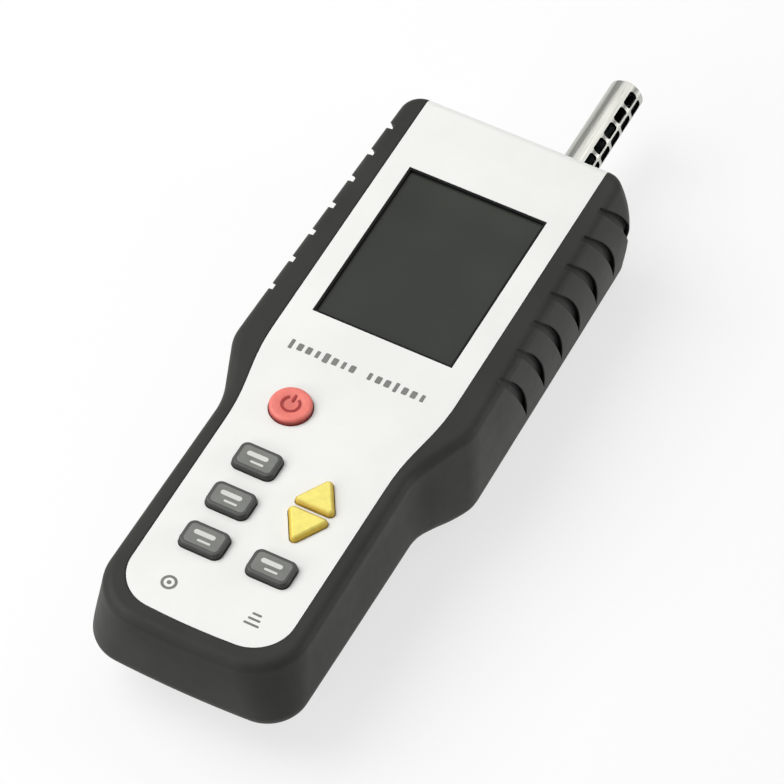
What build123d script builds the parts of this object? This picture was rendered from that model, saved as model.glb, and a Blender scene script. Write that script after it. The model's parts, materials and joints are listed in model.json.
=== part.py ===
from build123d import *
import os

# Handheld airborne particle counter, lying on its back with the front face up.
# X runs across the instrument, Y along it towards the sampling probe, Z up.
# The origin is on the resting surface, under the middle of the overall length.
# All sizes are in millimetres.

# ---------------------------------------------------------------- driving dimensions

total_length = 240.0
end_y = -total_length / 2            # butt of the handle
probe_tip_y = total_length / 2       # free end of the sampling probe
head_top_y = 78.8                    # end wall of the head

front_z = 38.0                       # front face above the resting surface
front_plate = 2.2                    # front cover wall
plate_z = front_z - front_plate      # underside of the front cover wall
rim_z = plate_z - 2.0                # rim of the rear cover, under the front cover's flange
rubber = 3.0                         # overmould thickness
side_wall, floor_wall = 2.2, 2.6     # rear cover walls
seam = 0.2                           # visible line between neighbouring covers
loose = 0.25                         # gap round pieces that move or lift out
press_gap = 0.02                     # radial gap of pieces pushed into each other

head_y = -22.0                       # where the head starts to narrow
neck_y = -42.0                       # where the handle begins
end_bow = 1.5                        # how far the butt bulges between its corners

# The outside at four heights: height, half widths (head end, head, neck, butt), end planes
# and the corner radii in the same order.
outside_levels = [
    (-3.0, (35.8, 37.4, 26.8, 29.6), head_top_y - 1.2, end_y + 0.8, (6.5, 14.0, 24.0, 12.0)),
    (17.0, (37.9, 38.0, 30.6, 32.2), head_top_y - 0.3, end_y, (6.5, 14.0, 24.0, 12.0)),
    (28.0, (37.2, 37.8, 29.6, 31.0), head_top_y, end_y + 0.3, (6.5, 14.0, 24.0, 14.0)),
    (front_z, (33.6, 37.2, 29.6, 30.0), head_top_y, end_y + 1.4, (6.5, 14.0, 24.0, 16.0)),
]
concave_row = 2                      # the neck's radius grows where the others shrink
least_radius = 0.5
top_edge_radius = 3.0
rear_edge_radius = 5.5
cavity_edge_radius = 1.0

# White front panel
front_widths = (28.4, 28.5, 24.7, 24.6)
front_radii = (1.0, 75.0, 75.0, 12.0)
front_end_y = -112.8
flange_lap = 2.0                     # how far the front cover's flange reaches under its wall
end_wall_half = 28.4                 # the overmould's two cheeks stop here on the end wall
end_wall_z = 11.0                    # lower edge of the front cover's end wall
end_wall_lap = 3.0                   # the rear cover's opening is this much narrower

# Rear surface seen from the side: flat under the head, rising along the handle.
rear_heel = (-25.0, 0.0)
rear_neck = (-40.0, 7.0)
rear_slope = 0.072
rear_end = (-135.0, rear_neck[1] + rear_slope * (135.0 + rear_neck[0]))
rear_neck_radius, rear_heel_radius = 45.0, 30.0

# Rear land of the hard cover, framed by the overmould
land_half, land_y, land_radius = 24.7, (-105.2, 68.0), 3.5

# Display
display_y = 24.0
window_size = (43.4, 58.0)
glass_size, glass_z = (46.4, 61.0), (plate_z, plate_z + 1.2)
glass_ledge = 0.5                    # depth of the ledge's recess behind the glass
panel_size, panel_z, panel_radius = (50.0, 69.2), (31.6, 35.1), 1.0
gasket_inset = 0.2

# Keys: centres, sizes and travel
key_x, arrow_x = -9.8, 10.9
key_rows = (-58.0, -72.7, -87.3)
power_place = (-10.8, -37.4)
arrow_rows = (-59.3, -72.1)
enter_place = (10.5, -87.2)
key_size, key_radius, key_edge = (12.8, 8.7), 2.2, 0.9
power_radius, power_edge, power_dish_radius, power_dish = 6.1, 1.1, 22.0, 0.4
arrow_base, arrow_height, arrow_radius, arrow_edge = 13.6, 11.4, 1.3, 1.0
key_rise = 1.9                       # keys stand proud of the front face
key_top = front_z + key_rise
key_flange, arrow_flange, key_flange_z = 1.0, 0.45, (34.6, 35.6)
key_travel, key_play = 0.8, 0.3

# Circuit board and what stands on it
board_z, board_corner = (29.8, 31.4), 1.5
board_head, board_handle = ((-28.6, 28.6), (-21.0, 69.0)), ((-21.8, 21.8), (-100.0, -20.0))
mat_size, mat_radius, mat_y, mat_z = (33.0, 64.0), 3.0, -62.0, (31.4, 32.6)
mat_pad_radius, mat_pad_z = 2.6, key_flange_z[0] - key_travel - key_play
sounder_place, sounder_radius, sounder_height, sounder_hole = (-15.0, 8.0), 5.5, 4.5, 1.0

# Sampling probe
probe_x, probe_z = 14.6, 21.0
probe_radius, probe_bore, probe_cap, probe_chamfer = 5.25, 4.35, 1.4, 0.9
probe_root_y = 70.0
slot_length, slot_width, slot_radius, slot_pitch = 5.3, 2.8, 0.8, 6.5
slot_angles = (41.0, 79.0)
slots_per_row = 5
first_slot_y = 88.4

# Battery bay and door
cell_radius, cell_length, cell_pitch, cell_z = 7.15, 50.5, 14.5, 21.0
cell_start_y, cell_nub, nub_radius, cell_edge = -99.8, 1.3, 2.7, 0.5
bay_half, bay_y, bay_foot = 21.8, (-102.2, -47.0), 8.0
bay_wall, bay_ceiling, bay_roof = 1.2, 28.5, 1.0
door_half, door_y, door_wall, door_radius = 23.2, (-103.8, -45.2), 1.8, 3.0
grip_lines, grip_line_start, grip_line_pitch = 4, 8.0, 3.2
grip_line_size, grip_line_depth = (24.0, 1.6), 0.8
leaf_width, leaf_thickness, leaf_clear, leaf_back = 6.0, 0.4, 0.35, 0.25
leaf_tall, leaf_touch, leaf_tail, leaf_return = 6.0, 1.2, 4.0, 0.7

# Fasteners and the places where they sit
head_posts = [(-21.2, 63.0), (21.2, 63.0), (-21.2, -17.0), (21.2, -17.0)]
tail_posts = [(-16.5, -109.5), (16.5, -109.5)]
head_seat_z, tail_seat_z, post_joint_z = 12.0, 16.5, 22.0
post_radius, post_foot_radius, post_foot_z, post_start_z = 3.1, 4.2, 14.0, 3.0
post_gap = 0.4                       # between a post and the circuit board
screw_head_radius, screw_head, screw_shank, screw_length, screw_well = 2.5, 1.9, 1.4, 15.0, 2.8
screw_clear, screw_pilot = 0.2, 11.8
board_posts = [(-27.6, 8.0), (27.6, 8.0), (-19.4, -41.5), (19.4, -41.5)]
board_post_radius, board_screw_shank, board_pilot = 2.3, 1.1, 3.6
board_screw_head_radius, board_screw_head, board_screw_length = 2.1, 1.4, 4.9
cross_width, cross_depth = 0.6, 0.7  # cross recess in every screw head

# Tripod socket, 1/4 inch thread
socket_y, socket_start_z = 4.0, 0.3
socket_radius, socket_outer, socket_length, socket_mouth = 2.6, 4.6, 9.0, 0.5
socket_rings, socket_ring_height, socket_ring_depth = (3.0, 5.6), 1.0, 0.5
boss_wall, boss_z = 2.4, (4.0, 11.5)

# Fan and its vent
fan_place, fan_size, fan_radius, fan_z = (-12.0, 40.0), 25.0, 2.5, (5.6, 12.6)
fan_hole, fan_hub, fan_blades, fan_tip = 11.4, 4.6, 7, 10.8
fan_plate, fan_spokes, fan_spoke_width = 1.2, 3, 1.8
fan_pin, fan_pin_length, fan_pin_gap = 0.9, 4.6, 0.05
rotor_start, rotor_height, rotor_bore_depth = 1.6, 4.8, 6.1
blade_turn, blade_width, blade_thickness, blade_root = 38.0, 5.0, 0.7, 0.3
fan_screw_offset, fan_screw_hole, fan_pilot, fan_pilot_depth = 10.2, 1.35, 1.3, 1.5
fan_screw_head_radius, fan_screw_head, fan_screw_shank, fan_screw_length = 2.0, 1.2, 1.25, 8.4
vent_slots, vent_pitch, vent_width = 6, 3.6, 1.9

# Optical chamber
chamber_x, chamber_y, chamber_z = (2.0, 27.6), (24.0, 58.0), (5.6, 25.4)
chamber_wall, chamber_radius, lid_height = 2.0, 2.0, 2.0
air_way_y, air_way_z = (32.0, 46.0), (10.0, 18.0)
laser_x, laser_z, laser_radius, laser_y = 9.0, 16.0, 3.3, (11.5, 25.5)
laser_edge, lens_radius, lens_depth = 0.4, 1.2, 2.0
detector_y, detector_z, detector_thickness = (33.0, 45.0), (9.0, 21.0), 1.0
detector_lens_radius, detector_lens_length = 2.6, 3.0
trap_radius, trap_bore, trap_length = 2.4, 1.6, 6.0
inlet_radius, inlet_bore, inlet_end_y = 3.3, 2.85, 73.0
nut_flats, nut_y, seal_radius, nut_gap = 14.0, (71.2, 74.6), 7.2, 0.03
sensor_half, sensor_thickness, sensor_y = 2.6, 0.8, (62.0, 106.0)
element_half, element_height, element_y = 2.2, 2.0, (100.0, 105.0)

# Grip grooves on the head's sides: each runs from the front edge down in an arc, widest half way
groove_count, groove_pitch, groove_first_y = 7, 11.1, 62.8
groove_top, groove_middle, groove_end = (1.2, 38.6), (10.4, 24.5), (14.0, 8.2)
groove_depth, groove_mouth, groove_width, groove_floor_radius = 1.6, 1.5, 3.4, 1.0

# Places beyond the form, for cuts that run right through it
past_x, past_y = (-60.0, 60.0), (-140.0, 130.0)
below, above, through = -5.0, 50.0, 20.0

FROM_BELOW = (Align.CENTER, Align.CENTER, Align.MIN)
FROM_ABOVE = (Align.CENTER, Align.CENTER, Align.MAX)

os.makedirs("parts", exist_ok=True)


def save(piece, name):
    piece.part.label = name
    export_step(piece.part, f"parts/{name}.step")


def rear_z(y):
    """Height of the rear surface under the handle."""
    return rear_neck[1] + rear_slope * (rear_neck[0] - y)


def middle(pair):
    return (pair[0] + pair[1]) / 2


def plan(z, halves, top_y, bottom_y, radii, inset=0.0):
    """Outline of the instrument seen from the front, on the plane at height z."""
    top, head, neck, butt = (half - inset for half in halves)
    top_y, bottom_y = top_y - inset, bottom_y + inset
    corner_y = bottom_y + end_bow
    with BuildSketch(Plane.XY.offset(z)) as sketch:
        with BuildLine():
            ThreePointArc((butt, corner_y), (0, bottom_y), (-butt, corner_y))
            Polyline((-butt, corner_y), (-neck, neck_y), (-head, head_y), (-top, top_y), (top, top_y),
                     (head, head_y), (neck, neck_y), (butt, corner_y))
        make_face()
        for row, (row_y, radius) in enumerate(zip((top_y, head_y, neck_y, corner_y), radii)):
            corners = sketch.vertices().filter_by_position(Axis.Y, row_y - 0.1, row_y + 0.1)
            fillet(corners, radius + inset if row == concave_row else max(radius - inset, least_radius))
    return sketch.sketch


def front_prism(inset, bottom, top):
    """The white panel's outline as a block; it runs out through the head's end."""
    with BuildPart() as prism:
        with BuildSketch(Plane.XY.offset(bottom)):
            add(plan(0, front_widths, past_y[1], front_end_y, front_radii, inset))
        extrude(amount=top - bottom)
    return prism


def below_rear(lift):
    """Everything under the rear surface raised by lift."""
    with BuildPart() as wedge:
        with BuildSketch(Plane.YZ.offset(past_x[0])) as side:
            with BuildLine():
                Polyline(rear_end, rear_neck, rear_heel, (past_y[1], 0), (past_y[1], 6 * below),
                         (rear_end[0], 6 * below), close=True)
            make_face()
            fillet(side.vertices().sort_by_distance(rear_neck)[0], rear_neck_radius)
            fillet(side.vertices().sort_by_distance(rear_heel)[0], rear_heel_radius)
        extrude(amount=past_x[1] - past_x[0])
    return wedge.part.moved(Location((0, 0, lift)))


def form(inset, lift, rear_radius, top_radius=0.0):
    """The instrument's outer form, or the same form a wall thickness further in."""
    with BuildPart() as body:
        loft([plan(*level, inset) for level in outside_levels])
        add(below_rear(lift), mode=Mode.SUBTRACT)
        rear_faces = body.faces().filter_by(lambda face: face.normal_at().Z < -0.5)
        seen = rear_faces.edges()
        rim = [edge for edge in seen if sum(edge.is_same(other) for other in seen) == 1]
        fillet(rim, rear_radius)
        if top_radius:
            fillet(body.faces().sort_by(Axis.Z)[-1].edges(), top_radius)
    return body.part


def block(x, y, z):
    """A box between pairs of coordinates, for use with any mode."""
    size = (x[1] - x[0], y[1] - y[0], z[1] - z[0])
    return Pos(middle(x), middle(y), middle(z)) * Box(*size, mode=Mode.PRIVATE)


def rounded_prism(x, y, z, radius):
    with BuildPart() as prism:
        with BuildSketch(Plane.XY.offset(z[0])):
            with Locations((middle(x), middle(y))):
                RectangleRounded(x[1] - x[0], y[1] - y[0], radius)
        extrude(amount=z[1] - z[0])
    return prism.part


def arrow_outline(extra):
    """Rounded triangle pointing towards +Y, its middle at the origin."""
    half, tall = arrow_base / 2, arrow_height / 2
    with BuildSketch(mode=Mode.PRIVATE) as outline:
        with BuildLine():
            Polyline((-half, -tall), (half, -tall), (0, tall), close=True)
        make_face()
        fillet(outline.vertices(), arrow_radius)
        if extra:
            offset(amount=extra)
    return outline.sketch


def along_probe(start, end, outer, inner=0.0):
    """A tube on the probe's axis between two distances along the instrument."""
    with BuildPart() as tube:
        with BuildSketch(Plane.XZ.offset(-start)):
            with Locations((probe_x, probe_z)):
                Circle(outer)
                if inner:
                    Circle(inner, mode=Mode.SUBTRACT)
        extrude(amount=-(end - start))
    return tube.part


def screw_group(name, places, head_radius, head_height, shank_radius, length, turn=0):
    """Pan-head screws, each given by its seat; they point up, or down when turned over."""
    recess = 1.2 * head_radius
    with BuildPart() as screws:
        with Locations([Location(place, (turn, 0, 0)) for place in places]):
            Cylinder(head_radius, head_height, align=FROM_ABOVE)
            Cylinder(shank_radius, length, align=FROM_BELOW)
            with Locations((0, 0, -head_height)):
                Box(recess, cross_width, 2 * cross_depth, mode=Mode.SUBTRACT)
                Box(cross_width, recess, 2 * cross_depth, mode=Mode.SUBTRACT)
    save(screws, name)


outside = form(0, 0, rear_edge_radius, top_edge_radius)
core = form(rubber, rubber, rear_edge_radius - rubber)
cavity = form(rubber + side_wall, rubber + floor_wall, cavity_edge_radius)

under_plate = block(past_x, past_y, (below, plate_z))
end_wall_inner_y = head_top_y - rubber
land_prism = rounded_prism((-land_half, land_half), land_y, (below, through), land_radius)
fan_screws_at = [(fan_place[0] + side * fan_screw_offset, fan_place[1] + end * fan_screw_offset)
                 for side in (-1, 1) for end in (-1, 1)]
key_places = {
    "upper_key": (key_x, key_rows[0]),
    "middle_key": (key_x, key_rows[1]),
    "lower_key": (key_x, key_rows[2]),
    "enter_key": enter_place,
}
arrow_places = {"up_key": (arrow_x, arrow_rows[0], 0), "down_key": (arrow_x, arrow_rows[1], 180)}

# ---------------------------------------------------------------- rubber overmould

with BuildPart() as groove_cutters:
    for step in range(groove_count):
        start_y = groove_first_y - step * groove_pitch
        with BuildSketch(Plane.YZ.offset(past_x[0])):
            with BuildLine(Location((start_y, 0))):
                upper_end = (groove_top[0] - groove_mouth, groove_top[1])
                ThreePointArc(groove_top, groove_middle, groove_end)
                ThreePointArc(groove_end, (groove_middle[0] - groove_width, groove_middle[1]), upper_end)
                Line(upper_end, groove_top)
            make_face()
        extrude(amount=past_x[1] - past_x[0])
    add(form(groove_depth, below, groove_floor_radius), mode=Mode.SUBTRACT)

with BuildPart() as rubber_grip:
    add(outside)
    add(core & under_plate, mode=Mode.SUBTRACT)
    add(front_prism(-seam, plate_z - 0.01, above), mode=Mode.SUBTRACT)
    add(block((-end_wall_half - seam, end_wall_half + seam), (end_wall_inner_y - 1, past_y[1]),
              (end_wall_z - seam, above)), mode=Mode.SUBTRACT)
    add(land_prism, mode=Mode.SUBTRACT)
    add(groove_cutters, mode=Mode.SUBTRACT)
    with Locations([(x, y, tail_seat_z) for x, y in tail_posts]):
        Cylinder(screw_well + seam, through, align=FROM_ABOVE, mode=Mode.SUBTRACT)
save(rubber_grip, "rubber_grip")

# ---------------------------------------------------------------- front cover

with BuildPart() as flange:
    add(core & block(past_x, past_y, (rim_z, plate_z)))
    add(front_prism(flange_lap, below, above), mode=Mode.SUBTRACT)

with BuildPart() as front_cover:
    add(outside)
    add(front_prism(0, plate_z, above), mode=Mode.INTERSECT)
    add(outside & block((-end_wall_half, end_wall_half), (end_wall_inner_y, past_y[1]), (end_wall_z, above)))
    add(flange)
    # posts for the case screws and for the circuit board hang from the wall
    with Locations([(x, y, plate_z) for x, y in head_posts + tail_posts]):
        Cylinder(post_radius, plate_z - post_joint_z, align=FROM_ABOVE)
    with Locations([(x, y, board_z[1]) for x, y in board_posts]):
        Cylinder(board_post_radius, plate_z - board_z[1], align=FROM_BELOW)
        Cylinder(board_screw_shank, board_pilot, align=FROM_BELOW, mode=Mode.SUBTRACT)
    with Locations([(x, y, post_joint_z) for x, y in head_posts + tail_posts]):
        Cylinder(screw_shank, screw_pilot, align=FROM_BELOW, mode=Mode.SUBTRACT)
    with BuildSketch(Plane.XY.offset(rim_z)):
        with Locations((0, display_y)):
            Rectangle(*window_size)
    extrude(amount=through, mode=Mode.SUBTRACT)
    with BuildSketch(Plane.XY.offset(plate_z - glass_ledge)):
        with Locations((0, display_y)):
            Rectangle(glass_size[0] + seam, glass_size[1] + seam)
    extrude(amount=glass_ledge + glass_z[1] - glass_z[0], mode=Mode.SUBTRACT)
    with BuildSketch(Plane.XY.offset(rim_z)):
        with Locations(*key_places.values()):
            RectangleRounded(key_size[0] + 2 * loose, key_size[1] + 2 * loose, key_radius + loose)
        with Locations(power_place):
            Circle(power_radius + loose)
        for x, y, turn in arrow_places.values():
            with Locations(Location((x, y), turn)):
                add(arrow_outline(loose))
    extrude(amount=through, mode=Mode.SUBTRACT)
    add(along_probe(probe_root_y, past_y[1], probe_radius + 0.05), mode=Mode.SUBTRACT)
save(front_cover, "front_cover")

# ---------------------------------------------------------------- rear cover

with BuildPart() as land:
    add(rounded_prism((-land_half + seam, land_half - seam), (land_y[0] + seam, land_y[1] - seam),
                      (below, through), land_radius - seam))
    add(below_rear(rubber + 0.5), mode=Mode.INTERSECT)
    add(outside, mode=Mode.INTERSECT)

with BuildPart() as rear_cover:
    add(core & block(past_x, past_y, (below, rim_z)))
    add(cavity, mode=Mode.SUBTRACT)
    add(land)
    # bay walls, screw posts and the tripod boss stand on the floor
    add(block((-bay_half - bay_wall, bay_half + bay_wall), (bay_y[0] - bay_wall, bay_y[1] + bay_wall),
              (bay_foot, bay_ceiling + bay_roof)))
    with Locations([(x, y, post_joint_z) for x, y in head_posts + tail_posts]):
        Cylinder(post_radius, post_joint_z - tail_seat_z, align=FROM_ABOVE)
    with Locations([(x, y, post_start_z) for x, y in head_posts]):
        Cylinder(post_radius, post_joint_z - post_start_z, align=FROM_BELOW)
        Cylinder(post_foot_radius, post_foot_z - post_start_z, align=FROM_BELOW)
    with Locations((0, socket_y, boss_z[0])):
        Cylinder(socket_outer + boss_wall, boss_z[1] - boss_z[0], align=FROM_BELOW)
    add(below_rear(0), mode=Mode.SUBTRACT)
    add(block((-bay_half, bay_half), bay_y, (0, bay_ceiling)), mode=Mode.SUBTRACT)
    add(rounded_prism((-door_half - loose, door_half + loose), (door_y[0] - loose, door_y[1] + loose),
                      (below, above), door_radius) & below_rear(door_wall), mode=Mode.SUBTRACT)
    for posts, seat_z in ((head_posts, head_seat_z), (tail_posts, tail_seat_z)):
        with Locations([(x, y, seat_z) for x, y in posts]):
            Cylinder(screw_well, through, align=FROM_ABOVE, mode=Mode.SUBTRACT)
            Cylinder(screw_shank + screw_clear, through, align=FROM_BELOW, mode=Mode.SUBTRACT)
    with Locations((0, socket_y, 0)):
        Cylinder(socket_outer, 2 * socket_length, mode=Mode.SUBTRACT)
    for slot in range(vent_slots):
        offset_y = (slot - (vent_slots - 1) / 2) * vent_pitch
        reach = (fan_hole**2 - offset_y**2) ** 0.5
        add(block((fan_place[0] - reach, fan_place[0] + reach),
                  (fan_place[1] + offset_y - vent_width / 2, fan_place[1] + offset_y + vent_width / 2),
                  (below, fan_z[0] + 1)), mode=Mode.SUBTRACT)
    with Locations([(x, y, fan_z[0]) for x, y in fan_screws_at]):
        Cylinder(fan_pilot, fan_pilot_depth, align=FROM_ABOVE, mode=Mode.SUBTRACT)
    add(block((-end_wall_half + end_wall_lap, end_wall_half - end_wall_lap),
              (head_top_y - 12, head_top_y), (end_wall_z, above)), mode=Mode.SUBTRACT)
save(rear_cover, "rear_cover")

# ---------------------------------------------------------------- battery bay and door

with BuildPart() as battery_door:
    add(rounded_prism((-door_half, door_half), door_y, (below, above), door_radius - loose))
    add(below_rear(door_wall), mode=Mode.INTERSECT)
    add(below_rear(0), mode=Mode.SUBTRACT)
    for step in range(grip_lines):
        line_y = door_y[0] + grip_line_start + grip_line_pitch * step
        with BuildSketch(Plane.XY):
            with Locations((0, line_y)):
                SlotOverall(*grip_line_size)
        extrude(amount=rear_z(line_y) + grip_line_depth, mode=Mode.SUBTRACT)
save(battery_door, "battery_door")

for cell_name, column in (("left_cell", -1), ("middle_cell", 0), ("right_cell", 1)):
    towards = 1 if column else -1        # the middle cell lies the other way round
    body_start = cell_start_y if towards > 0 else cell_start_y + cell_nub
    with BuildPart() as cell:
        with BuildSketch(Plane.XZ.offset(-body_start)):
            with Locations((column * cell_pitch, cell_z)):
                Circle(cell_radius)
        extrude(amount=-(cell_length - cell_nub))
        chamfer(cell.edges().filter_by(GeomType.CIRCLE), cell_edge)
        nub_plane = body_start + cell_length - cell_nub if towards > 0 else body_start
        with BuildSketch(Plane.XZ.offset(-nub_plane)):
            with Locations((column * cell_pitch, cell_z)):
                Circle(nub_radius)
        extrude(amount=-cell_nub * towards)
    save(cell, cell_name)


def contacts(name, wall_y, cell_y):
    """Three bent leaf contacts standing on one end wall of the bay."""
    out = 1 if cell_y > wall_y else -1
    back, reach = wall_y + leaf_back * out, cell_y - leaf_clear * out
    with BuildPart() as leaves:
        for column in (-1, 0, 1):
            with BuildSketch(Plane.YZ.offset(column * cell_pitch - leaf_width / 2)):
                with BuildLine():
                    Polyline((back, cell_z + leaf_tall), (back, cell_z - leaf_tall),
                             (reach, cell_z - leaf_touch), (reach, cell_z + leaf_touch),
                             (back + leaf_return * out, cell_z + leaf_tail))
                trace(line_width=leaf_thickness)
            extrude(amount=leaf_width)
    save(leaves, name)


contacts("upper_contacts", bay_y[1], cell_start_y + cell_length)
contacts("lower_contacts", bay_y[0], cell_start_y)

# ---------------------------------------------------------------- display

with BuildPart() as display_window:
    with BuildSketch(Plane.XY.offset(glass_z[0])):
        with Locations((0, display_y)):
            Rectangle(*glass_size)
    extrude(amount=glass_z[1] - glass_z[0])
save(display_window, "display_window")

with BuildPart() as display_panel:
    with BuildSketch(Plane.XY.offset(panel_z[0])):
        with Locations((0, display_y)):
            RectangleRounded(*panel_size, panel_radius)
    extrude(amount=panel_z[1] - panel_z[0])
save(display_panel, "display_panel")

with BuildPart() as display_gasket:
    with BuildSketch(Plane.XY.offset(panel_z[1])):
        with Locations((0, display_y)):
            Rectangle(*(side - 2 * gasket_inset for side in glass_size))
            Rectangle(*(side + 2 * gasket_inset for side in window_size), mode=Mode.SUBTRACT)
    extrude(amount=glass_z[0] - panel_z[1])
save(display_gasket, "display_gasket")

# ---------------------------------------------------------------- keys and the mat under them

for key_name, place in key_places.items():
    with BuildPart() as key:
        with BuildSketch(Plane.XY.offset(key_flange_z[0])):
            with Locations(place):
                RectangleRounded(key_size[0] + 2 * key_flange, key_size[1] + 2 * key_flange, key_radius)
        extrude(amount=key_flange_z[1] - key_flange_z[0])
        with BuildSketch(Plane.XY.offset(key_flange_z[0])):
            with Locations(place):
                RectangleRounded(*key_size, key_radius)
        extrude(amount=key_top - key_flange_z[0])
        fillet(key.faces().sort_by(Axis.Z)[-1].edges(), key_edge)
    save(key, key_name)

for key_name, (x, y, turn) in arrow_places.items():
    with BuildPart() as key:
        with BuildSketch(Plane.XY.offset(key_flange_z[0])):
            with Locations(Location((x, y), turn)):
                add(arrow_outline(arrow_flange))
        extrude(amount=key_flange_z[1] - key_flange_z[0])
        with BuildSketch(Plane.XY.offset(key_flange_z[0])):
            with Locations(Location((x, y), turn)):
                add(arrow_outline(0))
        extrude(amount=key_top - key_flange_z[0])
        chamfer(key.faces().sort_by(Axis.Z)[-1].edges(), arrow_edge)
    save(key, key_name)

with BuildPart() as power_button:
    with BuildSketch(Plane.XY.offset(key_flange_z[0])):
        with Locations(power_place):
            Circle(power_radius + key_flange)
    extrude(amount=key_flange_z[1] - key_flange_z[0])
    with BuildSketch(Plane.XY.offset(key_flange_z[0])):
        with Locations(power_place):
            Circle(power_radius)
    extrude(amount=key_top - key_flange_z[0])
    fillet(power_button.faces().sort_by(Axis.Z)[-1].edges(), power_edge)
    with Locations((*power_place, key_top + power_dish_radius - power_dish)):
        Sphere(power_dish_radius, mode=Mode.SUBTRACT)
save(power_button, "power_button")

with BuildPart() as keypad_mat:
    with BuildSketch(Plane.XY.offset(mat_z[0])):
        with Locations((0, mat_y)):
            RectangleRounded(*mat_size, mat_radius)
    extrude(amount=mat_z[1] - mat_z[0])
    with BuildSketch(Plane.XY.offset(mat_z[1])):
        with Locations(power_place, *key_places.values(), *[(x, y) for x, y, turn in arrow_places.values()]):
            Circle(mat_pad_radius)
    extrude(amount=mat_pad_z - mat_z[1])
save(keypad_mat, "keypad_mat")

# ---------------------------------------------------------------- circuit board

with BuildPart() as main_board:
    with BuildSketch(Plane.XY.offset(board_z[0])) as outline:
        for x_range, y_range in (board_head, board_handle):
            with Locations((middle(x_range), middle(y_range))):
                Rectangle(x_range[1] - x_range[0], y_range[1] - y_range[0])
        fillet(outline.vertices(), board_corner)
        with Locations(*head_posts):
            Circle(post_radius + post_gap, mode=Mode.SUBTRACT)
        with Locations(*board_posts):
            Circle(board_screw_shank + 0.1, mode=Mode.SUBTRACT)
    extrude(amount=board_z[1] - board_z[0])
save(main_board, "main_board")

with BuildPart() as sounder:
    with BuildSketch(Plane.XY.offset(board_z[0] - sounder_height)):
        with Locations(sounder_place):
            Circle(sounder_radius)
    extrude(amount=sounder_height)
    fillet(sounder.faces().sort_by(Axis.Z)[0].edges(), 0.6)
    with Locations((*sounder_place, board_z[0] - sounder_height)):
        Cylinder(sounder_hole, 3.0, mode=Mode.SUBTRACT)
save(sounder, "sounder")

# ---------------------------------------------------------------- screws

screw_group("case_screws",
            [(x, y, head_seat_z) for x, y in head_posts] + [(x, y, tail_seat_z) for x, y in tail_posts],
            screw_head_radius, screw_head, screw_shank - press_gap, screw_length)
screw_group("board_screws", [(x, y, board_z[0]) for x, y in board_posts],
            board_screw_head_radius, board_screw_head, board_screw_shank - press_gap, board_screw_length)
screw_group("fan_screws", [(x, y, fan_z[1]) for x, y in fan_screws_at],
            fan_screw_head_radius, fan_screw_head, fan_screw_shank, fan_screw_length, turn=180)

# ---------------------------------------------------------------- tripod insert

with BuildPart() as tripod_insert:
    with Locations((0, socket_y, socket_start_z)):
        Cylinder(socket_outer - press_gap, socket_length - socket_start_z, align=FROM_BELOW)
        Cylinder(socket_radius, through, mode=Mode.SUBTRACT)
    for ring_z in socket_rings:
        with Locations((0, socket_y, ring_z)):
            Cylinder(socket_outer, socket_ring_height, mode=Mode.SUBTRACT)
            Cylinder(socket_outer - socket_ring_depth, socket_ring_height)
            Cylinder(socket_radius, 2 * socket_ring_height, mode=Mode.SUBTRACT)
    chamfer(tripod_insert.faces().sort_by(Axis.Z)[0].edges().sort_by(SortBy.RADIUS)[0], socket_mouth)
save(tripod_insert, "tripod_insert")

# ---------------------------------------------------------------- sampling probe

with BuildPart() as probe_tube:
    add(along_probe(probe_root_y, probe_tip_y, probe_radius))
    chamfer(probe_tube.faces().sort_by(Axis.Y)[-1].edges(), probe_chamfer)
    add(along_probe(probe_root_y, probe_tip_y - probe_cap, probe_bore), mode=Mode.SUBTRACT)
    for angle in slot_angles:
        outward = Vector(0, 0, 1).rotate(Axis.Y, angle)
        with BuildSketch(Plane((probe_x, 0, probe_z), x_dir=(0, 1, 0), z_dir=outward)):
            for step in range(slots_per_row):
                with Locations((first_slot_y + step * slot_pitch, 0)):
                    RectangleRounded(slot_length, slot_width, slot_radius)
        extrude(amount=2 * probe_radius, both=True, mode=Mode.SUBTRACT)
save(probe_tube, "probe_tube")

with BuildPart() as probe_nut:
    with BuildSketch(Plane.XZ.offset(-nut_y[0])):
        with Locations((probe_x, probe_z)):
            RegularPolygon(nut_flats / 2, 6, major_radius=False)
            Circle(probe_radius + nut_gap, mode=Mode.SUBTRACT)
    extrude(amount=-(nut_y[1] - nut_y[0]))
save(probe_nut, "probe_nut")

with BuildPart() as probe_seal:
    add(along_probe(nut_y[1], end_wall_inner_y, seal_radius, probe_radius + nut_gap))
save(probe_seal, "probe_seal")

with BuildPart() as inlet_tube:
    add(along_probe(chamber_y[1] - chamber_wall, inlet_end_y, inlet_radius, inlet_bore))
save(inlet_tube, "inlet_tube")

with BuildPart() as humidity_sensor:
    strip_z = (probe_z - sensor_thickness / 2, probe_z + sensor_thickness / 2)
    add(block((probe_x - sensor_half, probe_x + sensor_half), sensor_y, strip_z))
    add(block((probe_x - element_half, probe_x + element_half), element_y,
              (strip_z[1], strip_z[1] + element_height)))
save(humidity_sensor, "humidity_sensor")

# ---------------------------------------------------------------- optical chamber

inner_x = (chamber_x[0] + chamber_wall, chamber_x[1] - chamber_wall)
inner_y = (chamber_y[0] + chamber_wall, chamber_y[1] - chamber_wall)

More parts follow.
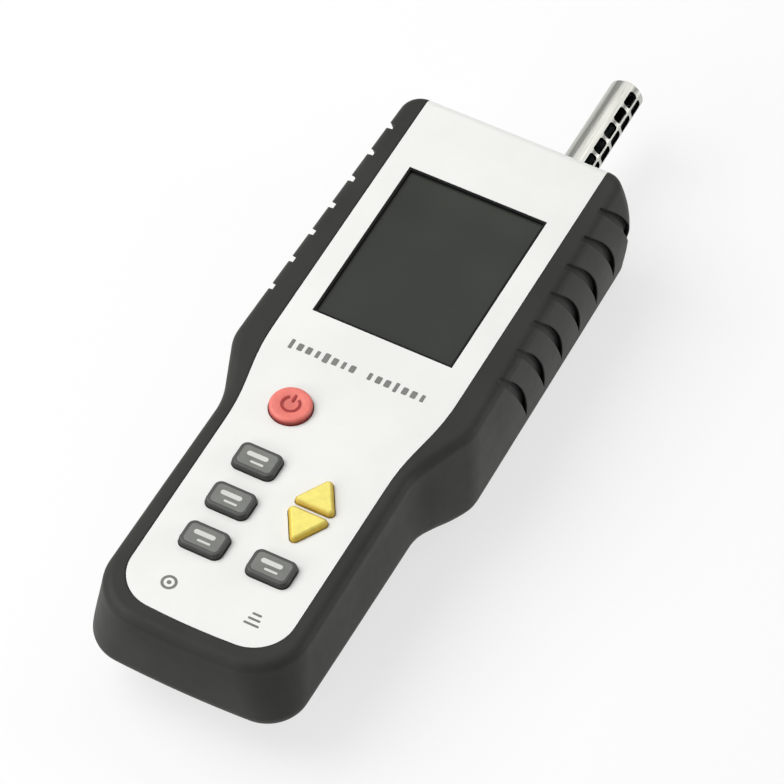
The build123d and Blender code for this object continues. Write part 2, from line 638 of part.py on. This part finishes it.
with BuildPart() as sensor_chamber:
    add(block(chamber_x, chamber_y, chamber_z))
    fillet(sensor_chamber.edges().filter_by(Axis.Z), chamber_radius)
    add(block(inner_x, inner_y, (chamber_z[0] + chamber_wall, chamber_z[1] + 1)), mode=Mode.SUBTRACT)
    add(along_probe(inner_y[1] - 1, chamber_y[1] + 1, inlet_radius + press_gap), mode=Mode.SUBTRACT)
    with BuildSketch(Plane.XZ.offset(-inner_y[0] - 1)):
        with Locations((laser_x, laser_z)):
            Circle(laser_radius + press_gap)
    extrude(amount=2 * chamber_wall, mode=Mode.SUBTRACT)
    add(block((chamber_x[0] - 1, inner_x[0] + 1), air_way_y, air_way_z), mode=Mode.SUBTRACT)
save(sensor_chamber, "sensor_chamber")

with BuildPart() as chamber_lid:
    add(block(chamber_x, chamber_y, (chamber_z[1], chamber_z[1] + lid_height)))
    fillet(chamber_lid.edges().filter_by(Axis.Z), chamber_radius)
save(chamber_lid, "chamber_lid")

with BuildPart() as laser_module:
    with BuildSketch(Plane.XZ.offset(-laser_y[0])):
        with Locations((laser_x, laser_z)):
            Circle(laser_radius)
    extrude(amount=-(laser_y[1] - laser_y[0]))
    chamfer(laser_module.edges().filter_by(GeomType.CIRCLE), laser_edge)
    with BuildSketch(Plane.XZ.offset(-laser_y[1])):
        with Locations((laser_x, laser_z)):
            Circle(lens_radius)
    extrude(amount=lens_depth, mode=Mode.SUBTRACT)
save(laser_module, "laser_module")

with BuildPart() as photodetector:
    add(block((inner_x[1] - detector_thickness, inner_x[1]), detector_y, detector_z))
    with BuildSketch(Plane.YZ.offset(inner_x[1] - detector_thickness)):
        with Locations((middle(detector_y), middle(detector_z))):
            Circle(detector_lens_radius)
    extrude(amount=-detector_lens_length)
save(photodetector, "photodetector")

with BuildPart() as light_trap:
    with BuildSketch(Plane.XZ.offset(-inner_y[1])):
        with Locations((laser_x, laser_z)):
            Circle(trap_radius)
            Circle(trap_bore, mode=Mode.SUBTRACT)
    extrude(amount=trap_length)
save(light_trap, "light_trap")

# ---------------------------------------------------------------- fan

with BuildPart() as fan_frame:
    with BuildSketch(Plane.XY.offset(fan_z[0])):
        with Locations(fan_place):
            RectangleRounded(fan_size, fan_size, fan_radius)
            Circle(fan_hole, mode=Mode.SUBTRACT)
        with Locations(*fan_screws_at):
            Circle(fan_screw_hole, mode=Mode.SUBTRACT)
    extrude(amount=fan_z[1] - fan_z[0])
    with BuildSketch(Plane.XY.offset(fan_z[0])):
        with Locations(fan_place):
            Circle(fan_hub)
            with PolarLocations(fan_hole / 2 + 1, fan_spokes):
                Rectangle(fan_hole + 2, fan_spoke_width)
    extrude(amount=fan_plate)
    with Locations((*fan_place, fan_z[0] + fan_plate)):
        Cylinder(fan_pin, fan_pin_length, align=FROM_BELOW)
save(fan_frame, "fan_frame")

with BuildPart() as fan_rotor:
    with Locations((*fan_place, fan_z[0] + rotor_start)):
        Cylinder(fan_hub, rotor_height, align=FROM_BELOW)
        with PolarLocations((fan_hub + fan_tip) / 2 - blade_root, fan_blades):
            with Locations(Location((0, 0, rotor_height / 2), (blade_turn, 0, 0))):
                Box(fan_tip - fan_hub, blade_width, blade_thickness)
    with Locations((*fan_place, fan_z[0])):
        Cylinder(fan_pin + fan_pin_gap, rotor_bore_depth, align=FROM_BELOW, mode=Mode.SUBTRACT)
save(fan_rotor, "fan_rotor")
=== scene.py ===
import json
import math

import bmesh
import bpy
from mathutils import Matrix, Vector


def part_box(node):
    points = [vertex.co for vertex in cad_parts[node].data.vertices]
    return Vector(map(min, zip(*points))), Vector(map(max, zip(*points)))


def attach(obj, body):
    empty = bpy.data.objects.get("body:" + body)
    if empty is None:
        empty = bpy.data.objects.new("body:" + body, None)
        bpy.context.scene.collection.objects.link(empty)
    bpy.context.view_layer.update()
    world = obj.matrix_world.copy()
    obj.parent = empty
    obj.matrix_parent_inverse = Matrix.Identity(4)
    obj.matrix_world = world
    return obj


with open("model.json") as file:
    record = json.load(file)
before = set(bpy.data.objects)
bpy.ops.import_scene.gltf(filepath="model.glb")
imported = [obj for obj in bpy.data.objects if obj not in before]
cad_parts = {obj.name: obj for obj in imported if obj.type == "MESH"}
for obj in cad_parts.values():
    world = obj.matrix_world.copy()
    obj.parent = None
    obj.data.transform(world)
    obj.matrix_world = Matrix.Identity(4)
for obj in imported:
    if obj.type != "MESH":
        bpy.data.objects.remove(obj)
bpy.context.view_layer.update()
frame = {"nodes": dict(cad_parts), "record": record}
nodes = frame["nodes"]

MM = 0.001
FRONT_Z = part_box("front_cover")[1][2]    # the white front face
KEY_TOP_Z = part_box("upper_key")[1][2]
INK = 0.06 * MM                          # thickness of printed marks
SAME = 0.001 * MM                        # points closer than this are one point
GREY_KEYS = ("upper_key", "middle_key", "lower_key", "enter_key")


def centre_of(node):
    low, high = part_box(node)
    return ((low[0] + high[0]) / 2, (low[1] + high[1]) / 2)


# ------------------------------------------------------------------ shader nodes

def grey(level):
    return (level, level, level)


def feed(tree, socket, source):
    """Links another node's output to a socket, or sets the socket to a plain number or colour."""
    if isinstance(source, bpy.types.NodeSocket):
        tree.links.new(source, socket)
    else:
        socket.default_value = source


def calculate(tree, operation, *terms):
    """A number worked out from one or two others."""
    node = tree.nodes.new("ShaderNodeMath")
    node.operation = operation
    for socket, term in zip(node.inputs, terms):
        feed(tree, socket, term)
    return node.outputs[0]


def calculate_vector(tree, operation, *terms):
    """A vector worked out from one or two others, or its length."""
    node = tree.nodes.new("ShaderNodeVectorMath")
    node.operation = operation
    for socket, term in zip(node.inputs, terms):
        feed(tree, socket, term)
    return node.outputs["Value" if operation == "LENGTH" else "Vector"]


def mix_colours(tree, share, first, second, blend="MIX"):
    """The first colour at share 0 and the second at share 1, or the first multiplied by the second."""
    node = tree.nodes.new("ShaderNodeMix")
    node.data_type = "RGBA"
    node.blend_type = blend
    for name, source in (("Factor", share), ("A", first), ("B", second)):
        feed(tree, node.inputs[name], source)
    return node.outputs["Result"]


def remap(tree, value, start=(0.0, 1.0), end=(0.0, 1.0), interpolation="LINEAR"):
    """Turns the range given as start into the one given as end."""
    node = tree.nodes.new("ShaderNodeMapRange")
    node.interpolation_type = interpolation
    node.inputs["From Min"].default_value, node.inputs["From Max"].default_value = start
    node.inputs["To Min"].default_value, node.inputs["To Max"].default_value = end
    tree.links.new(value, node.inputs["Value"])
    return node.outputs["Result"]


def ramp(tree, value, low, high, low_at=0.35, high_at=0.65):
    """Turns a 0 to 1 value into a colour between low and high."""
    node = tree.nodes.new("ShaderNodeValToRGB")
    stops = node.color_ramp.elements
    for stop, position, colour in ((stops[0], low_at, low), (stops[1], high_at, high)):
        stop.position = position
        stop.color = (*colour, 1)
    tree.links.new(value, node.inputs["Fac"])
    return node.outputs["Color"]


def place_on_object(tree):
    """The shaded point in the object's own coordinates, in metres."""
    return tree.nodes.new("ShaderNodeTexCoord").outputs["Object"]


def place_along(tree, axis):
    """The shaded point's place along one axis of the object."""
    node = tree.nodes.new("ShaderNodeSeparateXYZ")
    tree.links.new(place_on_object(tree), node.inputs["Vector"])
    return node.outputs[axis]


def noise(tree, scale, detail=3.0, place=None):
    """Soft noise from 0 to 1. Scale is in cells per metre, unless the given place is stretched."""
    if place is None:
        place = place_on_object(tree)
    node = tree.nodes.new("ShaderNodeTexNoise")
    node.inputs["Scale"].default_value = scale
    node.inputs["Detail"].default_value = detail
    node.inputs["Roughness"].default_value = 0.55
    tree.links.new(place, node.inputs["Vector"])
    return node.outputs["Fac"]


def bump(tree, shader, height, strength, distance):
    """Lets a 0 to 1 height stand out by this distance in metres."""
    node = tree.nodes.new("ShaderNodeBump")
    node.inputs["Strength"].default_value = strength
    node.inputs["Distance"].default_value = distance
    tree.links.new(height, node.inputs["Height"])
    tree.links.new(node.outputs["Normal"], shader.inputs["Normal"])


def shader_nodes(material):
    """A material's node tree and its main shader."""
    return material.node_tree, material.node_tree.nodes["Principled BSDF"]


def new_material(name):
    material = bpy.data.materials.new(name)
    material.use_nodes = True
    return material, *shader_nodes(material)


def soften_edges(tree, radius):
    """Lets the shader see sharp CAD edges as moulded ones of this radius."""
    edge = tree.nodes.new("ShaderNodeBevel")
    edge.samples = 4
    edge.inputs["Radius"].default_value = radius
    for node in tree.nodes:
        if node.bl_idname == "ShaderNodeBump":
            tree.links.new(edge.outputs["Normal"], node.inputs["Normal"])


def paint_groove_shade(tree, shader, reach, darkest):
    """Paints shade into the bottom of grooves by darkening the rubber's colour where it is sheltered."""
    sheltered, open_sky = 0.5, 0.9   # openness where it is darkest, and where it is left as it is
    shelter = tree.nodes.new("ShaderNodeAmbientOcclusion")
    shelter.samples = 8
    shelter.only_local = True
    shelter.inputs["Distance"].default_value = reach
    # painted shade: the colour gets darker the more a groove is sheltered
    groove_shade = ramp(tree, shelter.outputs["AO"], grey(darkest), grey(1.0), sheltered, open_sky)
    colour = shader.inputs["Base Color"].links[0].from_socket
    feed(tree, shader.inputs["Base Color"], mix_colours(tree, 1.0, colour, groove_shade, "MULTIPLY"))


# ------------------------------------------------------------------ materials

def moulded(name, low, high, roughness, grain=2600.0, depth=0.02 * MM, strength=0.35,
            variation=60.0, gloss_level=0.5):
    """Moulded plastic or rubber: faint colour variation, a fine spark grain and uneven gloss."""
    smoother, rougher = 0.05, 0.07
    material, tree, shader = new_material(name)
    shader.inputs["Specular IOR Level"].default_value = gloss_level
    feed(tree, shader.inputs["Base Color"], ramp(tree, noise(tree, variation, detail=4.0), low, high))
    gloss = remap(tree, noise(tree, variation * 5), end=(roughness - smoother, roughness + rougher))
    feed(tree, shader.inputs["Roughness"], gloss)
    bump(tree, shader, noise(tree, grain, detail=2.0), strength, depth)
    return material


def metal(name, low, high, roughness):
    """Turned or drawn metal with fine lines along the object's length."""
    stretch = (400.0, 12.0, 400.0)
    smoother, rougher = 0.04, 0.08
    material, tree, shader = new_material(name)
    shader.inputs["Metallic"].default_value = 1.0
    mapping = tree.nodes.new("ShaderNodeMapping")
    mapping.inputs["Scale"].default_value = stretch
    tree.links.new(place_on_object(tree), mapping.inputs["Vector"])
    lines = noise(tree, 6.0, place=mapping.outputs["Vector"])
    feed(tree, shader.inputs["Base Color"], ramp(tree, lines, low, high))
    gloss = remap(tree, lines, end=(roughness - smoother, roughness + rougher))
    feed(tree, shader.inputs["Roughness"], gloss)
    bump(tree, shader, lines, strength=0.25, distance=0.01 * MM)
    return material


def grip_rubber():
    """Satin charcoal overmould with softened edges and painted shade in its grooves."""
    edge_radius, groove_reach, groove_shade_tone = 0.7 * MM, 5.0 * MM, 0.12
    material = moulded("grip_rubber", (0.029, 0.029, 0.026), (0.037, 0.037, 0.033), 0.5,
                       grain=2400.0, strength=0.3, variation=45.0, gloss_level=0.15)
    tree, shader = shader_nodes(material)
    soften_edges(tree, edge_radius)
    paint_groove_shade(tree, shader, groove_reach, groove_shade_tone)
    return material


def probe_steel_with_bore_shade():
    """Turned steel with painted shade in the bore: near black nearer the axis than the wall and short of
    the end cap.
    """
    wall, cap, bore_shade = 0.35 * MM, 1.5 * MM, grey(0.012)
    material = metal("probe_metal", (0.42, 0.42, 0.39), (0.58, 0.58, 0.54), 0.22)
    tree, shader = shader_nodes(material)
    low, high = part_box("probe_tube")
    radius = (high[0] - low[0]) / 2
    on_axis = ((low[0] + high[0]) / 2, 0, (low[2] + high[2]) / 2)
    away = calculate_vector(tree, "SUBTRACT", place_on_object(tree), on_axis)
    across = calculate_vector(tree, "MULTIPLY", away, (1, 0, 1))
    distance = calculate_vector(tree, "LENGTH", across)
    outside = remap(tree, distance, start=(radius - wall, radius - wall / 3))
    at_tip = calculate(tree, "GREATER_THAN", place_along(tree, "Y"), high[1] - cap)
    unshaded = calculate(tree, "MAXIMUM", outside, at_tip)
    steel = shader.inputs["Base Color"].links[0].from_socket
    # painted shade: the steel inside the bore is given a near-black colour
    feed(tree, shader.inputs["Base Color"], mix_colours(tree, unshaded, (*bore_shade, 1), steel))
    return material


def display_glass():
    """Unlit display under its window: a black border band round a dark grey active area; the band is
    partly the display's black border and partly painted shade of the window's recess.
    """
    active_half = (20.9 * MM, 28.2 * MM)
    border, panel_low, panel_high = grey(0.005), (0.020, 0.022, 0.018), (0.030, 0.033, 0.027)
    material, tree, shader = new_material("display_glass")
    within = []
    for axis, middle, half in zip("XY", centre_of("display_window"), active_half):
        away = calculate(tree, "ABSOLUTE", calculate(tree, "SUBTRACT", place_along(tree, axis), middle))
        within.append(calculate(tree, "LESS_THAN", away, half))
    active = calculate(tree, "MULTIPLY", *within)
    panel = ramp(tree, noise(tree, 22.0, detail=2.0), panel_low, panel_high)
    # the near-black border band is partly painted shade of the window's recess
    feed(tree, shader.inputs["Base Color"], mix_colours(tree, active, (*border, 1), panel))
    shader.inputs["Roughness"].default_value = 0.34
    shader.inputs["Specular IOR Level"].default_value = 0.2
    bump(tree, shader, noise(tree, 3200.0, detail=1.0), strength=0.08, distance=0.01 * MM)
    return material


def key_rubber(name, skirt_shade, face, edge):
    """Key cap: a darker skirt of painted shade that turns into the lighter top face over the height of its
    edge.
    """
    rim = 0.05 * MM                  # the face has its full colour down to here
    material, tree, shader = new_material(name)
    height = remap(tree, place_along(tree, "Z"), start=(KEY_TOP_Z - edge, KEY_TOP_Z - rim),
                   interpolation="SMOOTHSTEP")
    # painted shade: the colour darkens from the face down the key's edge to the skirt
    colour = ramp(tree, height, skirt_shade, face, low_at=0.0, high_at=1.0)
    speckle = ramp(tree, noise(tree, 500.0), grey(0.9), grey(1.0))
    feed(tree, shader.inputs["Base Color"], mix_colours(tree, 1.0, colour, speckle, "MULTIPLY"))
    shader.inputs["Roughness"].default_value = 0.5
    bump(tree, shader, noise(tree, 2200.0, detail=2.0), strength=0.3, distance=0.02 * MM)
    return material


def make_materials():
    """One material for each material slot of the record."""
    return {
        "white_plastic": moulded("white_plastic", (0.80, 0.805, 0.775), (0.84, 0.845, 0.815), 0.5,
                                 grain=3000.0, depth=0.015 * MM, strength=0.25, variation=35.0),
        "dark_plastic": moulded("dark_plastic", (0.034, 0.034, 0.032), (0.042, 0.042, 0.04), 0.55),
        "dark_rubber": grip_rubber(),
        "display_glass": display_glass(),
        "display_black": moulded("display_black", grey(0.006), grey(0.010), 0.6, gloss_level=0.12),
        "black_foam": moulded("black_foam", grey(0.012), grey(0.03), 0.9, grain=1400.0, depth=0.1 * MM),
        # painted shade: each key's first colour is shade painted on its skirt, the second is its face
        "grey_key": key_rubber("grey_key", (0.022, 0.023, 0.021), (0.055, 0.057, 0.052), 0.3 * MM),
        "yellow_key": key_rubber("yellow_key", (0.62, 0.42, 0.04), (0.93, 0.80, 0.18), 0.8 * MM),
        "red_key": key_rubber("red_key", (0.30, 0.025, 0.02), (0.84, 0.20, 0.16), 1.2 * MM),
        "silicone": moulded("silicone", grey(0.20), grey(0.25), 0.6),
        "circuit_board": moulded("circuit_board", (0.008, 0.014, 0.012), (0.012, 0.022, 0.018), 0.35,
                                 grain=900.0),
        "black_part": moulded("black_part", grey(0.018), grey(0.028), 0.5),
        "zinc_steel": metal("zinc_steel", (0.50, 0.50, 0.48), (0.66, 0.66, 0.63), 0.32),
        "brass": metal("brass", (0.62, 0.44, 0.16), (0.78, 0.60, 0.28), 0.28),
        "probe_metal": probe_steel_with_bore_shade(),
        "cell_jacket": moulded("cell_jacket", (0.03, 0.06, 0.13), (0.04, 0.075, 0.16), 0.3),
        "spring_metal": metal("spring_metal", (0.6, 0.6, 0.57), (0.76, 0.76, 0.72), 0.25),
    }


def make_prints():
    """The materials of the printed marks and of the keys' printed faces."""
    fine = 0.005 * MM
    return {
        "grey_ink": moulded("grey_ink", (0.16, 0.165, 0.15), (0.20, 0.205, 0.19), 0.6, depth=fine),
        "pale_ink": moulded("pale_ink", (0.62, 0.62, 0.58), (0.70, 0.70, 0.66), 0.6, depth=fine),
        "red_ink": moulded("red_ink", (0.33, 0.02, 0.02), (0.40, 0.03, 0.03), 0.55, depth=fine),
        "key_face": moulded("key_face", (0.15, 0.155, 0.14), (0.18, 0.185, 0.17), 0.5,
                            grain=2200.0, variation=200.0),
    }


def dress(node, material):
    for holder in nodes[node].material_slots:
        holder.material = material


# ------------------------------------------------------------------ outlines, and pieces made of them

def rectangle(centre, half, z):
    corners = ((1, 1), (-1, 1), (-1, -1), (1, -1))
    return [(centre[0] + x * half[0], centre[1] + y * half[1], z) for x, y in corners]


def bar(centre, size, z, round_share=1.0):
    """A bar's outline. Its corners take this share of its smaller half size, so 1.0 makes round ends."""
    steps = 6                        # in each corner
    radius = min(size) / 2 * round_share
    corners = rectangle(centre, [side / 2 - radius for side in size], z)
    points = []
    for turn, corner in enumerate(corners):
        for step in range(steps + 1):
            angle = math.pi / 2 * (turn + step / steps)
            point = Vector((corner[0] + radius * math.cos(angle), corner[1] + radius * math.sin(angle), z))
            if all((point - other).length > SAME for other in points[-1:] + points[:1]):
                points.append(point)
    return points


def arc_band(centre, radius, width, start, end, z):
    """Part of a flat ring from one angle to another in degrees, or all of it over 360."""
    steps = 40
    closed = end - start == 360
    turns = [math.radians(start + (end - start) * step / steps) for step in range(steps + (not closed))]
    lines = []
    for distance in (radius - width / 2, radius + width / 2):
        lines.append([(centre[0] + distance * math.cos(turn), centre[1] + distance * math.sin(turn), z)
                      for turn in turns])
    return (*lines, closed)


def plate(form, outline, thickness):
    """A flat plate over a closed outline."""
    low = [form.verts.new(point) for point in outline]
    high = [form.verts.new(Vector(point) + Vector((0, 0, thickness))) for point in outline]
    form.faces.new(low)
    form.faces.new(high)
    for here in range(len(outline)):
        there = (here + 1) % len(outline)
        form.faces.new((low[here], low[there], high[there], high[here]))


def ribbon(form, inner, outer, closed, thickness):
    """A flat band between two lines of points; a closed one runs round on itself."""
    lift = Vector((0, 0, thickness))
    rows = [[form.verts.new(point) for point in inner],
            [form.verts.new(point) for point in outer],
            [form.verts.new(Vector(point) + lift) for point in outer],
            [form.verts.new(Vector(point) + lift) for point in inner]]
    count = len(inner)
    for here in range(count if closed else count - 1):
        there = (here + 1) % count
        for side in range(4):
            first, second = rows[side], rows[(side + 1) % 4]
            form.faces.new((first[here], second[here], second[there], first[there]))
    if not closed:
        form.faces.new([row[0] for row in rows])
        form.faces.new([row[-1] for row in rows])


def mesh_piece(name, material, body, thickness, plates=(), ribbons=()):
    """One piece made of flat marks, all raised by the same thickness."""
    form = bmesh.new()
    for outline in plates:
        plate(form, outline, thickness)
    for inner, outer, closed in ribbons:
        ribbon(form, inner, outer, closed, thickness)
    bmesh.ops.recalc_face_normals(form, faces=form.faces)
    mesh = bpy.data.meshes.new(name)
    form.to_mesh(mesh)
    form.free()
    piece = bpy.data.objects.new(name, mesh)
    bpy.context.scene.collection.objects.link(piece)
    piece.data.materials.append(material)
    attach(piece, body)


# ------------------------------------------------------------------ printed marks and trim

def key_legends(face, ink):
    """A lighter printed face on each grey key, and two plain bars on it in place of lettering."""
    face_size, face_rounding = (10.3 * MM, 6.2 * MM), 0.4
    face_z, bars_z = KEY_TOP_Z - INK / 2, KEY_TOP_Z + INK / 4
    bars = (((-0.3 * MM, 0.8 * MM), (6.4 * MM, 1.5 * MM)),      # place from the key's middle, size
            ((0.6 * MM, -1.5 * MM), (4.0 * MM, 0.7 * MM)))
    for node in GREY_KEYS:
        body = node + "_body"
        x, y = centre_of(node)
        mesh_piece(node + "_face", face, body, INK,
                   [bar((x, y), face_size, face_z, face_rounding)])
        mesh_piece(node + "_legend", ink, body, INK / 2,
                   [bar((x + right, y + up), size, bars_z) for (right, up), size in bars])


def power_symbol(ink):
    """The common on-off sign, an open ring and a bar, standing in the button's dish."""
    ring_radius, line_width, gap = 2.5 * MM, 0.75 * MM, 70      # the gap in degrees
    stem_length, stem_up = 2.6 * MM, 2.1 * MM
    sunk, thickness = 0.3 * MM, 0.25 * MM
    x, y = centre_of("power_button")
    z = KEY_TOP_Z - sunk
    ring = arc_band((x, y), ring_radius, line_width, 90 + gap / 2, 450 - gap / 2, z)
    stem = bar((x, y + stem_up), (line_width, stem_length), z)
    mesh_piece("power_symbol", ink, "power_button_body", thickness, [stem], [ring])


def display_bezel_and_shade(material):
    """The dark rim that lines the window's opening: partly a black bezel and partly painted shade of the
    recess.
    """
    ledge = 1.5 * MM                 # hidden border of the window on each side
    gap, width, below_front = 0.03 * MM, 0.7 * MM, 0.12 * MM
    low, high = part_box("display_window")
    centre = centre_of("display_window")
    outer = [(high[axis] - low[axis]) / 2 - ledge - gap for axis in range(2)]
    inner = [half - width for half in outer]
    lines = [rectangle(centre, half, high[2]) for half in (inner, outer)]
    mesh_piece("display_bezel_and_shade", material, "housing", FRONT_Z - below_front - high[2],
               ribbons=[(*lines, True)])


def dash_rule(ink):
    """Two groups of plain dashes under the display, where the front carries print."""
    left, right, y = -22.4 * MM, 20.8 * MM, -18.0 * MM
    count, gap_at, rounding = 16, 8, 0.45
    height, tall_share = 2.5 * MM, 1.35
    wide_share, narrow_share = 0.62, 0.4
    pitch = (right - left) / count
    dashes = []
    for step in range(count):
        if step != gap_at:
            width = pitch * (wide_share if step % 3 else narrow_share)
            size = (width, height * (1.0 if step % 4 else tall_share))
            dashes.append(bar((left + pitch * (step + 0.5), y), size, FRONT_Z - INK / 4, rounding))
    mesh_piece("dash_rule", ink, "housing", INK, dashes)


def butt_marks(ink):
    """Two small plain marks at the butt: a dot in a ring, and three lines that get shorter upwards."""
    y, z = -103.2 * MM, FRONT_Z - INK / 4
    ring_place, dot_size = (-11.7 * MM, y), 1.3 * MM
    ring_radius, ring_width = 1.9 * MM, 0.8 * MM
    lines_x, line_pitch, line_height = 14.0 * MM, 1.7 * MM, 0.7 * MM
    longest, shorter_by = 4.6 * MM, 0.9 * MM
    mesh_piece("ring_mark", ink, "housing", INK,
               [bar(ring_place, (dot_size, dot_size), z)],
               [arc_band(ring_place, ring_radius, ring_width, 0, 360, z)])
    mesh_piece("line_mark", ink, "housing", INK,
               [bar((lines_x, y + (row - 1) * line_pitch), (longest - row * shorter_by, line_height), z)
                for row in range(3)])


# ------------------------------------------------------------------ floor, light, camera

def pale_surround(tree, lit, output, share):
    """Blends plain white into what is seen directly, in a reflection or through glass."""
    rays = tree.nodes.new("ShaderNodeLightPath")
    seen = rays.outputs["Is Camera Ray"]
    for also in ("Is Glossy Ray", "Is Transmission Ray"):
        seen = calculate(tree, "MAXIMUM", seen, rays.outputs[also])
    white = tree.nodes.new("ShaderNodeEmission")
    white.inputs["Color"].default_value = (*grey(1.0), 1)
    blend = tree.nodes.new("ShaderNodeMixShader")
    tree.links.new(calculate(tree, "MULTIPLY", seen, share), blend.inputs["Fac"])
    tree.links.new(lit, blend.inputs[1])
    tree.links.new(white.outputs[0], blend.inputs[2])
    tree.links.new(blend.outputs[0], output)


def make_floor():
    """A wide white sheet just under the object, so that the two share no surface."""
    reach, drop, white_share = 3.0, 0.2 * MM, 0.7
    mesh = bpy.data.meshes.new("floor")
    mesh.from_pydata(rectangle((0, 0), (reach, reach), 0), [], [(0, 1, 2, 3)])
    floor = bpy.data.objects.new("floor", mesh)
    floor.location.z = -drop
    bpy.context.scene.collection.objects.link(floor)
    material, tree, shader = new_material("floor_paper")
    shader.inputs["Roughness"].default_value = 0.9
    paper = ramp(tree, noise(tree, 3.0, detail=2.0), grey(0.90), grey(0.92))
    feed(tree, shader.inputs["Base Color"], paper)
    pale_surround(tree, shader.outputs[0], tree.nodes["Material Output"].inputs["Surface"], white_share)
    floor.data.materials.append(material)


def make_world():
    """Faint white light from all round."""
    strength, white_share = 0.14, 0.4
    world = bpy.data.worlds.new("studio")
    world.use_nodes = True
    tree = world.node_tree
    background = tree.nodes["Background"]
    background.inputs["Color"].default_value = (*grey(1.0), 1)
    background.inputs["Strength"].default_value = strength
    pale_surround(tree, background.outputs[0], tree.nodes["World Output"].inputs["Surface"], white_share)
    bpy.context.scene.world = world


def aim(holder, place, target):
    """Adds a lamp or camera to the scene at its place, turned to the target."""
    holder.location = place
    holder.rotation_euler = (Vector(target) - Vector(place)).to_track_quat("-Z", "Y").to_euler()
    bpy.context.scene.collection.objects.link(holder)


def make_lights():
    """Four soft boxes round the object, each with its place and size in metres and its power in watts."""
    target = (0, 0, 0.02)
    lamps = (
        ("key_light", (-0.8, -0.2, 1.1), (1.1, 1.1), 17.5),
        ("front_light", (-0.6, -1.15, 0.5), (0.8, 0.5), 5.5),
        ("right_light", (1.25, 0.6, 0.25), (0.5, 0.5), 5.5),
        ("back_light", (-0.05, 0.72, 1.05), (1.7, 0.6), 4.0),
    )
    for name, place, size, power in lamps:
        lamp = bpy.data.lights.new(name, "AREA")
        lamp.shape = "RECTANGLE"
        lamp.size, lamp.size_y = size
        lamp.energy = power
        aim(bpy.data.objects.new(name, lamp), place, target)


def make_camera():
    """At the viewpoint worked out from the photograph, aimed at the object with a longer lens."""
    place, target = (0.3882, -0.7344, 1.1084), (0.004, -0.0065, 0.018)
    camera = bpy.data.cameras.new("camera")
    camera.lens = 226.0
    camera.sensor_width = 36.0
    camera.clip_start, camera.clip_end = 0.05, 20.0
    holder = bpy.data.objects.new("camera", camera)
    aim(holder, place, target)
    bpy.context.scene.camera = holder
    bpy.context.scene.view_settings.view_transform = "Standard"


materials = make_materials()
for part in frame["record"]["subparts"]:
    dress(part["node"], materials[part["material_slot"]])

prints = make_prints()
key_legends(prints["key_face"], prints["pale_ink"])
display_bezel_and_shade(materials["display_black"])
power_symbol(prints["red_ink"])
dash_rule(prints["grey_ink"])
butt_marks(prints["grey_ink"])
make_floor()
make_lights()
make_world()
make_camera()
